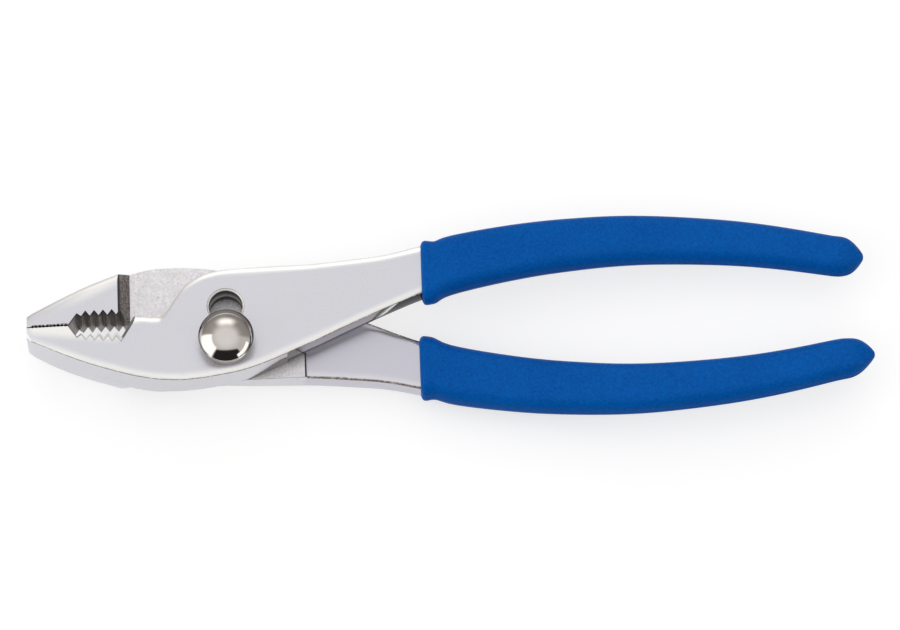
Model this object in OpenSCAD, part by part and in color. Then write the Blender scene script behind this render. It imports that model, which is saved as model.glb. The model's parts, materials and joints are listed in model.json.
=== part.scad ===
// Slip joint pliers, 8 inch pattern, closed. Millimetres, +Z up, the domed bolt head on top.
// The origin is on the pivot axis, at the level of the bolt's flat end. +X runs to the handles
// and +Y to the side of the upper jaw.
// Both halves start from one forged blank. The back half is the blank turned over about the line
// on which the jaws bite, so jaws, joint plates and handles match by construction. The jaws thin
// towards the tip on the tool's front, and stay nearly flat on its rear.

/* [Reach] */
// Pivot axis to the tip of the jaws
jaw_reach = 47.5; // [42:0.5:54]
// Pivot axis to the end of the steel tangs
handle_reach = 147; // [130:1:165]
// Pivot axis to the mouth of the front sleeve
sleeve_start = 46.7; // [44:0.1:52]
// Pivot axis to the line on which the jaws bite
bite_offset = 5.7; // [5.4:0.05:6.2]

/* [Joint] */
// Thickness of each half at the joint
plate_t = 7.2; // [6.4:0.1:8.4]
// Bite line to the edge of the joint plate on its jaw's side
joint_depth = 15.45; // [14.5:0.05:17]
// Bite line to the edge of the joint plate on its handle's side
joint_rise = 13.2; // [12.6:0.05:14.5]
// Bite line to the edge of the joint plate behind the jaws
throat_rise = 1.55; // [1.2:0.05:1.8]
// Pivot axis to the foot of the shoulder behind the jaws
shoulder_x = 23; // [22.6:0.1:24]
// How far the shoulder leans back from its foot to the face
shoulder_lean = 2.8; // [1.5:0.1:3.5]
// Pivot axis to the end of the milled pad on the handle's side
pad_reach = 18.3; // [17:0.1:20]
// Height of the milled pad above the tang
pad_h = 0.4; // [0.2:0.05:0.5]
// Play between the two lap faces, and under the head and the nut
joint_play = 0.05; // [0.03:0.01:0.08]

/* [Forging] */
// Thickness of the jaws at their tip
nose_t = 10.4; // [9:0.1:12]
// Width of the crown that a face has along its edges
edge_w = 2.2; // [1.4:0.05:2.4]
// Drop of the crown, down to the crisp edge
edge_h = 0.6; // [0.3:0.05:0.9]
// Narrowing of a plate from the parting plane to its face
draft_in = 0.6; // [0.2:0.05:0.8]
// How much further the jaw's outer side stands out at the parting plane, by the shoulder
jaw_swell = 0.5; // [0:0.05:0.7]
// Rounding of the front of the nose
nose_r = 0.4; // [0.3:0.05:0.9]

/* [Teeth] */
// Gap between the closed jaws
bite_gap = 0.24; // [0.15:0.01:0.4]
// Pitch of the fine teeth
fine_pitch = 0.87; // [0.8:0.01:1]
// Depth of the fine teeth, upper jaw
fine_depth_up = 0.35; // [0.2:0.01:0.5]
// Depth of the fine teeth, lower jaw
fine_depth_low = 0.12; // [0.08:0.01:0.5]
// Plain edge at the tip, in front of the fine teeth
nose_flat = 1.1; // [0.6:0.1:1.6]
// Pivot axis to the front corner of the pipe grip
pipe_start = 37.6; // [37:0.1:38]
// Pitch of the pipe grip's teeth
pipe_pitch = 2.1; // [1.9:0.05:2.15]
// Bite line to the tips of the pipe grip's teeth
pipe_tip = 2.1; // [2.1:0.05:2.5]
// Depth of the pipe grip's teeth
pipe_depth = 1.35; // [0.8:0.05:1.5]
// Width of the bevel along the teeth on the face
bite_bevel = 0.9; // [0.4:0.05:1.2]

/* [Handles] */
// Bite line to the widest place of a handle's centre line
handle_bow = 18.55; // [17.5:0.05:20]
// Width of a tang at the mouth of its sleeve
tang_w = 12.4; // [11:0.1:13]
// Thickness of a tang at the mouth of its sleeve
tang_t = 6.4; // [5.8:0.05:6.6]
// Width of a tang at its end
tang_end_w = 7.5; // [6:0.1:8.5]
// Thickness of a tang at its end
tang_end_t = 5.2; // [4.6:0.1:6]
// Pivot axis to the place where both handles lie in one plane
level_reach = 112; // [95:1:125]
// Edge radius of a tang inside its sleeve
tang_r = 2.2; // [1.6:0.05:2.5]

/* [Sleeves] */
// Wall of the dipped sleeves
sleeve_wall = 1.4; // [0.9:0.05:1.6]
// Length of the rolled mouth
mouth_l = 4.5; // [3:0.1:6]
// How much nearer to the pivot the back sleeve's mouth lies
back_lead = 1; // [0:0.1:1.5]
// Sleeve past the end of the tang, front handle
front_drip = 5.8; // [4.5:0.1:8]
// Sleeve past the end of the tang, back handle
back_drip = 7.3; // [4.5:0.1:9]
// Sideways lean of the drip, front handle
front_lean = -0.4; // [-1.2:0.05:1.2]
// Sideways lean of the drip, back handle
back_lean = -0.9; // [-1.2:0.05:1.2]

/* [Pivot] */
// Distance between the two positions of the slot
slot_pitch = 8.8; // [8.3:0.05:9.4]
// Diameter of the bolt's shank
shank_d = 8; // [7.4:0.1:8.6]
// Distance across the shank's two flats
shank_flat = 5.3; // [4.6:0.1:5.8]
// Radial play of the shank in the bore and in the slot
bore_play = 0.05; // [0.03:0.01:0.09]
// Chamfer around the slot
slot_chamfer = 0.5; // [0.2:0.05:0.7]
// Diameter of the head at its rim
head_d = 13.12; // [12.4:0.02:14]
// Diameter of the head where it meets the plate
head_base_d = 12; // [11:0.1:12.4]
// Height of the head's rim above the plate
head_rim_h = 4.3; // [3.4:0.1:5]
// Height of the domed crown above the rim
head_crown = 3; // [2:0.1:4]
// Height of the band at the rim
head_lip = 0.4; // [0.2:0.05:0.6]
// Diameter of the thread
thread_d = 6; // [5:0.1:6.5]
// Nut, distance across its flats
nut_af = 11; // [10:0.1:12]
// Height of the nut
nut_h = 3; // [2.4:0.1:4]
// Bolt past the nut
bolt_tail = 0.45; // [0.2:0.05:1]
// Chamfer on the nut's corners and on the bolt's end
nut_chamfer = 0.5; // [0.2:0.05:0.8]

/* [Hidden] */
steel = "gainsboro";
chrome = "silver";
blue = "royalblue";
// Overrun of the cuts
over = 1;
// Sides of the round parts
round_fn = 96;

// Levels above the table
back_face_z = bolt_tail + nut_h + joint_play;
lap_z = back_face_z + plate_t;
front_face_z = lap_z + plate_t;
head_z = front_face_z + joint_play;
rim_z = head_z + head_rim_h;

// Radii of the pivot
shank_r = shank_d / 2;
bore_r = shank_r + bore_play;
neck_w = shank_flat + 2 * bore_play;
thread_r = thread_d / 2;
crown_r = head_d / 2 - head_lip / 2;
crown_ball_r = (crown_r * crown_r + head_crown * head_crown) / (2 * head_crown);

// Smooth curve through a table of [place, value], without overshoot
function mix(a, b, s) = a + (b - a) * s;
function smooth(s) = let (t = min(max(s, 0), 1)) t * t * (3 - 2 * t);
function rise(t, i) = (t[i + 1][1] - t[i][1]) / (t[i + 1][0] - t[i][0]);
function slope(t, i) =
    i == 0 ? rise(t, 0)
    : i == len(t) - 1 ? rise(t, i - 1)
    : let (p = rise(t, i - 1), q = rise(t, i)) p * q <= 0 ? 0 : 2 * p * q / (p + q);
function span(t, x, i = 0) = i >= len(t) - 2 || x < t[i + 1][0] ? i : span(t, x, i + 1);
function curve(t, x) =
    let (
        i = span(t, x),
        d = t[i + 1][0] - t[i][0],
        u = min(max((x - t[i][0]) / d, 0), 1)
    )
    t[i][1] * (1 + 2 * u) * (1 - u) * (1 - u) + t[i + 1][1] * u * u * (3 - 2 * u)
    + d * slope(t, i) * u * (1 - u) * (1 - u) - d * slope(t, i + 1) * u * u * (1 - u);

// Handle, from the mouth of the sleeve to the end of the tang: shares of that length,
// and the centre line as shares of the bow
bow_shares = [
    [0, 0.582], [0.137, 0.757], [0.327, 0.925], [0.517, 1],
    [0.709, 0.946], [0.804, 0.884], [0.9, 0.795], [1, 0.682]
];
taper_share = 0.85;
handle_l = handle_reach - sleeve_start;
function along(x) = min(max((x - sleeve_start) / handle_l, 0), 1);
function bow(x) = handle_bow * curve(bow_shares, along(x));
function half_w(x) = mix(tang_w, tang_end_w, pow(along(x), taper_share)) / 2;
function half_t(x) = mix(tang_t, tang_end_t, along(x)) / 2;
tang_lift = plate_t - tang_t / 2;
function lift(x) = tang_lift * (1 - smooth((x - sleeve_start) / (level_reach - sleeve_start)));
mouth_low = bow(sleeve_start) - half_w(sleeve_start);
mouth_high = bow(sleeve_start) + half_w(sleeve_start);

// Edge of the blank on the jaw's side, at the parting plane:
// [share of the jaw's reach, share of the depth]
jaw_back_shares = [
    [1, 0.216], [0.933, 0.316], [0.834, 0.466], [0.735, 0.605], [0.636, 0.734], [0.535, 0.861],
    [0.436, 0.954], [0.337, 0.999], [0.242, 1], [0.137, 0.98]
];
// The same edge from the joint to the sleeve: [share of that length, share of the way across]
tang_low_shares = [
    [-0.039, 0.048], [0.064, 0.09], [0.167, 0.168], [0.27, 0.266], [0.345, 0.348], [0.469, 0.469],
    [0.563, 0.571], [0.687, 0.702], [0.754, 0.769], [0.867, 0.88]
];
// Edge on the handle's side, from the throat up to the joint:
// [share of the shoulder's reach, share of the rise]
throat_shares = [
    [0.709, 0], [0.661, 0.043], [0.583, 0.25], [0.496, 0.506], [0.413, 0.678], [0.317, 0.807],
    [0.226, 0.893], [0.143, 0.94], [0.048, 0.972], [-0.074, 0.99], [-0.326, 1]
];
// The same edge from the joint to the sleeve: [share of that length, share of the way up]
tang_high_shares = [
    [0.4, 0.013], [0.486, 0.077], [0.567, 0.154], [0.651, 0.256], [0.732, 0.34], [0.814, 0.48],
    [0.897, 0.69]
];
// Places along the handle at which its edges are taken
handle_shares = [0, 0.05, 0.1, 0.16, 0.23, 0.3, 0.38, 0.46, 0.54, 0.62, 0.7, 0.78, 0.86, 0.93, 1];
end_r = tang_end_t / 4;
handle_end = handle_reach - end_r;
handle_places = [for (s = handle_shares) mix(sleeve_start, handle_end, s)];

low_edge = concat(
    [for (p = jaw_back_shares) [-p[0] * jaw_reach, -p[1] * joint_depth]],
    [for (p = tang_low_shares) [p[0] * sleeve_start, mix(-joint_depth, mouth_low, p[1])]],
    [for (x = handle_places) [x, bow(x) - half_w(x)]]
);
high_edge = concat(
    [[-jaw_reach, throat_rise + draft_in], [-shoulder_x, throat_rise + draft_in]],
    [for (p = throat_shares) [-p[0] * shoulder_x, mix(throat_rise, joint_rise, p[1])]],
    [for (p = tang_high_shares) [p[0] * sleeve_start, mix(joint_rise, mouth_high, p[1])]],
    [for (x = handle_places) [x, bow(x) + half_w(x)]]
);
// Half the thickness of the jaws, from the tip to the joint, on the tool's front and on its rear:
// [share of the reach, share of the growth]
jaw_front_shares = [[1, 0], [0.84, 0.3], [0.63, 0.66], [0.42, 0.95], [0.3, 1]];
jaw_rear_shares = [[1, 0], [0.95, 0.5], [0.88, 0.85], [0.78, 1], [0.3, 1]];
function jaw_table(shares) = [for (p = shares) [-p[0] * jaw_reach, mix(nose_t / 2, plate_t, p[1])]];
jaw_front_t = jaw_table(jaw_front_shares);
jaw_rear_t = jaw_table(jaw_rear_shares);
function jaw_t(x, is_front) = x < 0 ? curve(is_front ? jaw_front_t : jaw_rear_t, x) : plate_t;

// Faces of the blank, whose top is the tool's front or its rear: the plates lie on the lap plane,
// the tangs stand off it and level out
neck_l = sleeve_start - pad_reach;
function neck(x) = smooth((x - pad_reach) / neck_l);
function top(x, is_front = true) = x < sleeve_start ? jaw_t(x, is_front) : lift(x) + half_t(x);
function bottom(x, is_front = false) =
    x < pad_reach ? -jaw_t(x, is_front)
    : x < sleeve_start ? mix(pad_h, plate_t - tang_t, neck(x)) + joint_play
    : lift(x) - half_t(x) + joint_play;
function parting(x) =
    x < pad_reach ? plate_t / 2 * smooth(x / pad_reach) : (top(x) + bottom(x)) / 2;
// How far the crisp edges of the steel have turned into the round ones inside the sleeve
function tang_turn(x) = smooth((x - sleeve_start) / (2 * mouth_l));
corner_share = 0.45;

// Draft of a jaw's outer side: it swells by the shoulder and fades out towards the tip on the rear.
// Shares of the jaw's reach, between which each change goes on
swell_shares = [0.72, 0.5];
settle_shares = [0.42, 0.21];
rear_shares = [0.9, 0.54];
function passed(x, shares) = smooth((shares[0] + x / jaw_reach) / (shares[0] - shares[1]));
function outer_draft(x, is_front) =
    (draft_in + jaw_swell * passed(x, swell_shares) * (1 - passed(x, settle_shares)))
    * (is_front ? 1 : passed(x, rear_shares));

// Corner of a section, from the edge at the side to the flat of the face: the part of an ellipse
// beyond the given angle, so that zero gives a full round and more than that a crisp edge
corner_steps = 4;
edge_turn = 45;
function corner(w, h, rw, rh, from) = [
    for (i = [0:corner_steps])
        let (a = mix(from, 90, i / corner_steps))
        [w + rw * cos(a) / cos(from), h + rh * (sin(a) - sin(from)) / (1 - sin(from))]
];
function flip(points, sw, sh) = [for (p = points) [p[0] * sw, p[1] * sh]];
function turned(points) = [for (i = [len(points) - 1:-1:0]) points[i]];

// Ring of points around a section across X: four corners, drawn in by the draft at the faces,
// with a point on each side at the parting plane. A negative inset lies outside the section.
function blank_ring(x, inset = 0, dx = 0, turn = -1, top_is_front = true) =
    let (
        lo = curve(low_edge, x),
        hi = curve(high_edge, x),
        mid = parting(x),
        t = top(x, top_is_front),
        b = bottom(x, !top_is_front),
        s = turn < 0 ? tang_turn(x) : turn,
        rw = mix(edge_w, tang_r, s),
        rh = min(mix(edge_h, tang_r, s), corner_share * (t - b)),
        from = mix(edge_turn, 0, s),
        up = (t - mid) / plate_t,
        down = (mid - b) / plate_t,
        lo_up = outer_draft(x, top_is_front) * up + rw,
        lo_down = outer_draft(x, !top_is_front) * down + rw,
        iw = rw - inset,
        ih = rh - inset,
        hi_top = corner(hi - draft_in * up - rw, t - rh, iw, ih, from),
        lo_top = flip(corner(-lo - lo_up, t - rh, iw, ih, from), -1, 1),
        lo_low = flip(corner(-lo - lo_down, -b - rh, iw, ih, from), -1, -1),
        hi_low = flip(corner(hi - draft_in * down - rw, -b - rh, iw, ih, from), 1, -1)
    )
    [
        for (p = concat(
            [[hi - inset, mid]], hi_top, turned(lo_top), [[lo + inset, mid]], lo_low, turned(hi_low)
        ))
            [x + dx, p[0], p[1]]
    ];

// Closed skin over rings that have equally many points
function skin_faces(rings, count) =
    concat(
        [[for (i = [0:count - 1]) i]],
        [for (k = [0:rings - 2], i = [0:count - 1])
            let (j = (i + 1) % count, a = k * count)
            each [[a + i, a + count + i, a + j], [a + j, a + count + i, a + count + j]]],
        [[for (i = [count - 1:-1:0]) (rings - 1) * count + i]]
    );
module skin(rings) {
    polyhedron(points = [for (r = rings) each r], faces = skin_faces(len(rings), len(rings[0])));
}

// Stations of the blank, closest where the outline turns fastest
nose_station_shares = [0.975, 0.955, 0.91, 0.86, 0.8, 0.74, 0.68, 0.62, 0.56, 0.5];
throat_station_shares = [
    0.96, 0.86, 0.77, 0.709, 0.685, 0.66, 0.62, 0.58, 0.54, 0.495, 0.45, 0.41, 0.365, 0.32, 0.27,
    0.226, 0.18, 0.143, 0.095, 0.048, 0
];
pad_station_shares = [0.14, 0.3, 0.46, 0.62, 0.78, 0.96];
neck_station_shares = [0.02, 0.1, 0.2, 0.3, 0.4, 0.5, 0.6, 0.7, 0.8, 0.9];
stations = concat(
    [for (s = nose_station_shares) -s * jaw_reach],
    [for (s = throat_station_shares) -s * shoulder_x],
    [for (s = pad_station_shares) s * pad_reach],
    [for (s = neck_station_shares) pad_reach + s * neck_l]
);
// Round end of a tang, or of the space around it
end_angles = [30, 60, 90];
function tang_end_rings(inset) = [
    for (a = end_angles)
        blank_ring(handle_end, inset + end_r * (1 - cos(a)), (end_r - inset) * sin(a))
];

module forged_blank(top_is_front) {
    skin(concat(
        [
            blank_ring(-jaw_reach, nose_r, 0, -1, top_is_front),
            blank_ring(-jaw_reach, nose_r / 4, nose_r / 2, -1, top_is_front)
        ],
        [for (x = concat(stations, handle_places)) blank_ring(x, 0, 0, -1, top_is_front)],
        tang_end_rings(0)
    ));
}

// Teeth, as seen from the face: fine ones along the nose, the pipe grip behind them, and the flank
// that rises to the throat. The space beyond the outline is what the jaw leaves open.
fine_half_share = 0.42;
fine_half = fine_half_share * fine_pitch;
fine_start = jaw_reach - nose_flat - fine_half;
fine_count = floor((jaw_reach - nose_flat - pipe_start) / fine_pitch);
flank_in = 1.9;
pipe_first_share = 0.6;
pipe_count = floor((pipe_start - shoulder_x - flank_in / 2) / pipe_pitch);
bite = -bite_gap / 2;
function fine_teeth(depth) = [
    for (i = [0:fine_count - 1])
        let (x = -fine_start + i * fine_pitch)
        each [[x - fine_half, bite], [x, bite - depth], [x + fine_half, bite]]
];
pipe_teeth = [
    for (i = [0:pipe_count - 1])
        let (
            x = -pipe_start + (i + 1) * pipe_pitch,
            root = -pipe_tip - pipe_depth * (i == 0 ? pipe_first_share : 1)
        )
        each i == pipe_count - 1 ? [[x, root]] : [[x, root], [x + pipe_pitch / 2, -pipe_tip]]
];
throat_clear = throat_rise + draft_in + over;
function bite_outline(depth) = concat(
    [[-jaw_reach - over, throat_clear], [-jaw_reach - over, bite]],
    fine_teeth(depth),
    [[-pipe_start, bite]],
    pipe_teeth,
    [[-shoulder_x + flank_in, throat_clear]]
);
bevel_share = 0.65;
bevel_h = bevel_share * bite_bevel;

module bite_cut(depth, top_is_front) {
    outline = bite_outline(depth);
    bevel_z = top(-pipe_start + pipe_pitch * pipe_count / 2, top_is_front);
    translate([0, 0, -plate_t - over]) linear_extrude(2 * (plate_t + over)) polygon(outline);
    skin([
        [for (p = outline) [p[0], p[1], bevel_z - bevel_h]],
        [for (p = outline) [p[0], p[1] - 2 * bite_bevel, bevel_z + bevel_h]]
    ]);
}

// Space that the other half's plate takes: up to the leaning shoulder, and a little above the lap
// plane past the milled pad, to where the tang stands clear of it
tang_clear_share = 0.04;
module lap_cut() {
    play = joint_play / 2;
    deep = plate_t + over;
    lean = shoulder_lean * deep / plate_t;
    past_pad = pad_reach + tang_clear_share * neck_l;
    rotate([90, 0, 0])
        linear_extrude(4 * joint_depth, center = true)
            polygon([
                [-shoulder_x, play], [pad_reach, play], [pad_reach + pad_h, pad_h], [past_pad, pad_h],
                [past_pad, -deep], [-shoulder_x - lean, -deep]
            ]);
}

module half_blank(fine_depth, top_is_front) {
    difference() {
        forged_blank(top_is_front);
        lap_cut();
        bite_cut(fine_depth, top_is_front);
    }
}

// The blank as the front half, and turned over about the bite line as the back half
module as_front() {
    translate([0, bite_offset, lap_z]) children();
}
module as_back() {
    translate([0, bite_offset, lap_z]) rotate([180, 0, 0]) children();
}

// Slot with its two positions, chamfered on the face
module slot_cut() {
    through = plate_t + 2 * over;
    wide = slot_chamfer + over;
    for (y = [0, slot_pitch]) {
        translate([0, y, lap_z - over]) cylinder(h = through, r = bore_r, $fn = round_fn);
        translate([0, y, front_face_z - slot_chamfer])
            cylinder(h = wide, r1 = bore_r, r2 = bore_r + wide, $fn = round_fn);
    }
    translate([-neck_w / 2, 0, lap_z - over]) cube([neck_w, slot_pitch, through]);
    translate([0, slot_pitch, front_face_z - slot_chamfer])
        rotate([90, 0, 0])
            linear_extrude(slot_pitch)
                polygon([
                    [-neck_w / 2, 0], [neck_w / 2, 0],
                    [neck_w / 2 + wide, wide], [-neck_w / 2 - wide, wide]
                ]);
}

module front_half() {
    color(steel) difference() {
        as_front() half_blank(fine_depth_low, true);
        slot_cut();
    }
}

module back_half() {
    color(steel) difference() {
        as_back() half_blank(fine_depth_up, false);
        translate([0, 0, back_face_z - over])
            cylinder(h = plate_t + 2 * over, r = bore_r, $fn = round_fn);
    }
}

// Domed head on a shank that is flat on two sides where it runs in the slot
module domed_head() {
    translate([0, 0, head_z])
        cylinder(h = head_rim_h - head_lip, d1 = head_base_d, d2 = head_d, $fn = round_fn);
    translate([0, 0, rim_z - head_lip]) cylinder(h = head_lip, d = head_d, $fn = round_fn);
    intersection() {
        translate([0, 0, rim_z + head_crown - crown_ball_r]) sphere(r = crown_ball_r, $fn = round_fn);
        translate([0, 0, rim_z]) cylinder(h = head_crown + over, r = crown_r, $fn = round_fn);
    }
}

module pivot_bolt() {
    through = plate_t + joint_play;
    color(chrome) union() {
        domed_head();
        intersection() {
            translate([0, 0, lap_z]) cylinder(h = through, r = shank_r, $fn = round_fn);
            translate([-shank_flat / 2, -shank_r, lap_z]) cube([shank_flat, shank_d, through]);
        }
        translate([0, 0, back_face_z - joint_play])
            cylinder(h = through, r = shank_r, $fn = round_fn);
        translate([0, 0, nut_chamfer])
            cylinder(h = back_face_z - nut_chamfer, r = thread_r, $fn = round_fn);
        cylinder(h = nut_chamfer, r1 = thread_r - nut_chamfer, r2 = thread_r, $fn = round_fn);
    }
}

// Hexagon nut, with its corners turned down on the outside
module pivot_nut() {
    corner_d = nut_af / cos(30);
    cone_r = corner_d / 2 - nut_chamfer;
    color(chrome) translate([0, 0, bolt_tail]) difference() {
        intersection() {
            cylinder(h = nut_h, d = corner_d, $fn = 6);
            cylinder(h = nut_h, r1 = cone_r, r2 = cone_r + nut_h, $fn = round_fn);
        }
        translate([0, 0, -over])
            cylinder(h = nut_h + 2 * over, r = thread_r + bore_play, $fn = round_fn);
    }
}

// Dipped sleeve: one skin that runs out of the space around the tang, over the rolled mouth and
// along the handle to the pointed drip. [share of the mouth's length, share of the wall]
mouth_shares = [[0, 0.25], [0.04, 0.75], [0.12, 1.15], [0.25, 1.3], [0.5, 1.15], [0.8, 1.02]];
mouth_clear_share = 0.9;
// [share of the drip's length, share of the section]
drip_shares = [
    [0, 1], [0.18, 0.99], [0.36, 0.95], [0.52, 0.86], [0.68, 0.68], [0.82, 0.45], [0.92, 0.25],
    [0.98, 0.1]
];
function drip_ring(x, s, lean, grow) =
    let (c = bow(handle_end), z = parting(handle_end))
    [
        for (p = blank_ring(handle_end, -sleeve_wall))
            [x, c + lean * smooth(s) + (p[1] - c) * grow, z + (p[2] - z) * grow]
    ];
module sleeve(start, drip, lean) {
    mouth_end = start + mouth_clear_share * mouth_l;
    inside = concat(
        [blank_ring(start, -bore_play)],
        [for (x = handle_places) if (x > start) blank_ring(x, -bore_play)],
        tang_end_rings(-bore_play)
    );
    skin(concat(
        turned(inside),
        [for (p = mouth_shares) blank_ring(start, -p[1] * sleeve_wall, p[0] * mouth_l, 1)],
        [
            for (x = handle_places)
                if (x > mouth_end && x < handle_end) blank_ring(x, -sleeve_wall, 0, 1)
        ],
        [for (p = drip_shares) drip_ring(handle_end + p[0] * (drip + end_r), p[0], lean, p[1])]
    ));
}

module front_grip() {
    color(blue) as_front() sleeve(sleeve_start, front_drip, front_lean);
}

module back_grip() {
    color(blue) as_back() sleeve(sleeve_start - back_lead, back_drip, back_lean);
}

front_half();
back_half();
pivot_bolt();
pivot_nut();
front_grip();
back_grip();
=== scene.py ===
# %% [markdown]
# # Slip joint pliers
# A pair of drop forged pliers, satin chrome plated, with a domed bolt in a two position slot and a
# blue dipped sleeve on each handle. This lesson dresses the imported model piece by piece: camera and
# light first, then the finishes, then each piece, and a check of the sizes at the end.

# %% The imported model
import json
import math

import bmesh
import bpy
from mathutils import Matrix, Vector


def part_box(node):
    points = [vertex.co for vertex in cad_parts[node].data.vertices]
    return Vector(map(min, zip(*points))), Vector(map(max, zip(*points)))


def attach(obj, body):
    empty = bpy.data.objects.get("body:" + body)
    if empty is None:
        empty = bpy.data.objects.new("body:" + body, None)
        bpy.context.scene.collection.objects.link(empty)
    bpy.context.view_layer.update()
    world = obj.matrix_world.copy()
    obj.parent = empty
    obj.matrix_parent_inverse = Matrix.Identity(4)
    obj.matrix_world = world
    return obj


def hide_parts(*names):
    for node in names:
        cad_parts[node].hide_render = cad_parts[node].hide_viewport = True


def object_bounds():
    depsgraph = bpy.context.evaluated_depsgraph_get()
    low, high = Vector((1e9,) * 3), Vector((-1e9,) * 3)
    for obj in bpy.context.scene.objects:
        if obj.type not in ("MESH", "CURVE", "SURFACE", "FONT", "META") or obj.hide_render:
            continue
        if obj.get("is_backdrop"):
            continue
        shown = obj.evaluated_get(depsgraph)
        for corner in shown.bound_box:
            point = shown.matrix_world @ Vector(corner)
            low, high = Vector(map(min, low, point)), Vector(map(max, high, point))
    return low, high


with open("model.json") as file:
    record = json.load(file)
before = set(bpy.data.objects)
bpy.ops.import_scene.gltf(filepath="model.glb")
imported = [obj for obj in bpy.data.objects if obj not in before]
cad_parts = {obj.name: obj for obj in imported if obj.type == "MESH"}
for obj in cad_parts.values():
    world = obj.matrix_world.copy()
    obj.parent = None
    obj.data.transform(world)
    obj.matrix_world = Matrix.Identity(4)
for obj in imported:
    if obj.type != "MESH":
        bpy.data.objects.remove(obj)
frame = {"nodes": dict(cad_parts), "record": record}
bpy.context.view_layer.update()
cad_box = [list(corner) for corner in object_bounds()]
MM = 0.001

# %% [markdown]
# ## Camera
# Product photographs of hand tools are taken almost from above with a long lens, so that parallel
# edges stay parallel. The tool lies turned by two degrees in the picture, and the camera leans
# 18.5 degrees towards the lower handle, which lets the lower walls show. One matrix holds the
# three directions of the camera, which is easier to check than three turning angles.

# %% Camera
LEAN = math.radians(18.5)
ROLL = math.radians(2.0)
AIM = Vector((53.29, 7.08, 10.7)) * MM
DISTANCE = 1.575
PIXELS_PER_METRE = 4190
WIDTH_PX = 900
SENSOR = 36.0
FAR_CLIP = 20

right = Vector((math.cos(ROLL), -math.sin(ROLL), 0))
away = Vector((math.sin(ROLL), math.cos(ROLL), 0))
back = Vector((0, 0, math.cos(LEAN))) - math.sin(LEAN) * away
up = Vector((0, 0, math.sin(LEAN))) + math.cos(LEAN) * away
turn = Matrix((right, up, back)).transposed().to_4x4()
camera = bpy.data.objects.new("camera", bpy.data.cameras.new("camera"))
camera.matrix_world = Matrix.Translation(AIM + DISTANCE * back) @ turn
camera.data.sensor_width = SENSOR
camera.data.lens = SENSOR * PIXELS_PER_METRE * DISTANCE / WIDTH_PX
camera.data.clip_end = FAR_CLIP
scene = bpy.context.scene
scene.collection.objects.link(camera)
scene.camera = camera
scene.view_settings.view_transform = "Standard"
print("lens", round(camera.data.lens, 1), "mm, at", [round(x, 3) for x in camera.location])

# %% [markdown]
# ## Nodes as sums
# A material, a world or a Geometry Nodes tree is a web of sockets. One small class lets a socket
# take part in ordinary arithmetic, so a mask reads like a formula, and one method adds any other
# node from its type, its settings and what goes into its sockets.

# %% Sockets that do arithmetic
class Wire:
    """A node's output: sums with it add the Math nodes they need."""

    def __init__(self, web, socket):
        self.web, self.socket = web, socket

    def math(self, operation, *others, clamp=False):
        settings = {"operation": operation, "use_clamp": clamp}
        return self.web.add("ShaderNodeMath", settings, dict(enumerate((self, *others))))

    def clamped(self):
        return self.math("ADD", 0.0, clamp=True)

    def ramp(self, low, high):
        """0 below low, 1 above high, and a soft step between them."""
        sockets = {"Value": self, "From Min": low, "From Max": high}
        return self.web.add("ShaderNodeMapRange", {"interpolation_type": "SMOOTHSTEP"}, sockets)

    def __add__(self, other):
        return self.math("ADD", other)

    def __sub__(self, other):
        return self.math("SUBTRACT", other)

    def __mul__(self, other):
        return self.math("MULTIPLY", other)

    def __truediv__(self, other):
        return self.math("DIVIDE", other)

    def __neg__(self):
        return self.math("MULTIPLY", -1.0)

    def __rsub__(self, other):
        return -self + other

    def __rtruediv__(self, other):
        return self.math("POWER", -1.0) * other

    __radd__, __rmul__ = __add__, __mul__


print("a socket may stand before or after", ["+", "-", "*", "/"])


# %% A tree and its nodes
class Web:
    """A node tree that starts empty."""

    def __init__(self, tree):
        self.tree = tree
        tree.nodes.clear()

    def add(self, kind, settings=None, sockets=None, out=0):
        node = self.tree.nodes.new(kind)
        for name, value in (settings or {}).items():
            setattr(node, name, value)
        for name, value in (sockets or {}).items():
            self.plug(node.inputs[name], value)
        self.last = node
        return self.wire(out) if node.outputs else None

    def wire(self, out):
        """Another output of the node that was added last."""
        return Wire(self, self.last.outputs[out])

    def split(self, vector, unit=1.0):
        """The three parts of a vector, in that unit."""
        self.add("ShaderNodeSeparateXYZ", None, {0: vector})
        return [axis / unit for axis in [self.wire(name) for name in "XYZ"]]

    def plug(self, socket, value):
        if isinstance(value, Wire):
            self.tree.links.new(value.socket, socket)
        elif socket.type == "RGBA" and len(value) == 3:
            socket.default_value = (*value, 1.0)
        else:
            socket.default_value = value


def tint(web, mask, low, high):
    """Colour from low to high as the mask goes from 0 to 1."""
    return web.add("ShaderNodeMix", {"data_type": "RGBA"}, {0: mask, 6: low, 7: high}, 2)


def window(value, low, high, soft):
    """1 between low and high, with soft ends."""
    half = soft / 2
    return value.ramp(low - half, low + half) * (1 - value.ramp(high - half, high + half))


textures = [name for name in dir(bpy.types) if "NodeTex" in name]
print("a web can add", len(textures), "kinds of texture")

# %% [markdown]
# ## Room
# Polished metal has no colour of its own to speak of: it shows the room. The domed bolt works
# like a small mirror ball, so the room of the photograph can be read from it: white above, a lit
# card on the left, a low strip on the right, and the dark gap below the camera that the foot of
# the dome mirrors. Cards hung in the world give the same, without any lamp. A bearing is 0 towards
# the camera's side (-Y), 90 towards the handles and 180 behind the tool. A height is the angle
# above the floor, and a rise is the same angle measured in the plane across the tool, which gives
# a card an upper edge that looks straight in the dome.

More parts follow.
